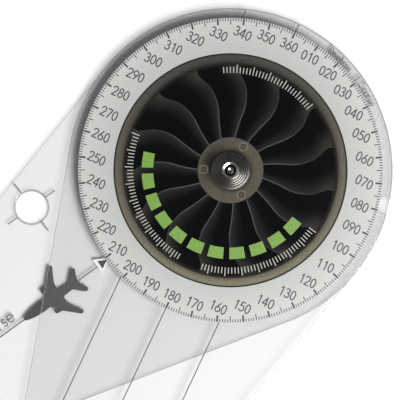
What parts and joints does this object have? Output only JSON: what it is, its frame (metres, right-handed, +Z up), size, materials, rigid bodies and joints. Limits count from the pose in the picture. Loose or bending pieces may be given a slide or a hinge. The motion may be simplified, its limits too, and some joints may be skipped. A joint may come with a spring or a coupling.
{
  "type": "two-arm course plotter",
  "caption": "Clear two-arm navigation plotter with a rotating azimuth disc, riveted at one pivot, for measuring and drawing courses on a chart.",
  "frame": {"origin": "on the rivet's axis, in the plane of the underside", "axes": "+Z up out of the printed face, +Y towards north on the disc; the north arm points along -Y and the track arm 29 degrees clockwise of it, seen from above"},
  "size_m": [0.1327, 0.2163, 0.006],
  "materials": {
    "track_arm": "clear cast acrylic, polished, with dark printed lines",
    "north_arm": "clear cast acrylic, polished, with grey printed lines",
    "azimuth_disc": "pale grey-white printed plastic sheet, satin",
    "centre_label": "printed label, satin laminate",
    "dished_washer": "turned spring steel",
    "rivet_socket": "nickel-plated brass, bright",
    "rivet_pin": "steel, satin",
    "arm_washer": "natural nylon",
    "disc_washer": "natural nylon",
    "backing_washer": "plain steel"
  },
  "bodies": {
    "track_arm": {"track_arm": "track_arm", "arm_washer": "arm_washer", "backing_washer": "backing_washer", "rivet_pin": "rivet_pin", "rivet_socket": "rivet_socket", "dished_washer": "dished_washer"},
    "north_arm": {"north_arm": "north_arm", "disc_washer": "disc_washer"},
    "azimuth_disc": {"azimuth_disc": "azimuth_disc", "centre_label": "centre_label"}
  },
  "joints": [
    {"name": "north_arm_swing", "type": "hinge", "parent": "track_arm", "child": "north_arm", "pos_m": [0, 0, 0.00255], "axis": [0, 0, 1], "continuous": true},
    {"name": "azimuth_disc_turn", "type": "hinge", "parent": "north_arm", "child": "azimuth_disc", "pos_m": [0, 0, 0.0042], "axis": [0, 0, 1], "continuous": true}
  ]
}
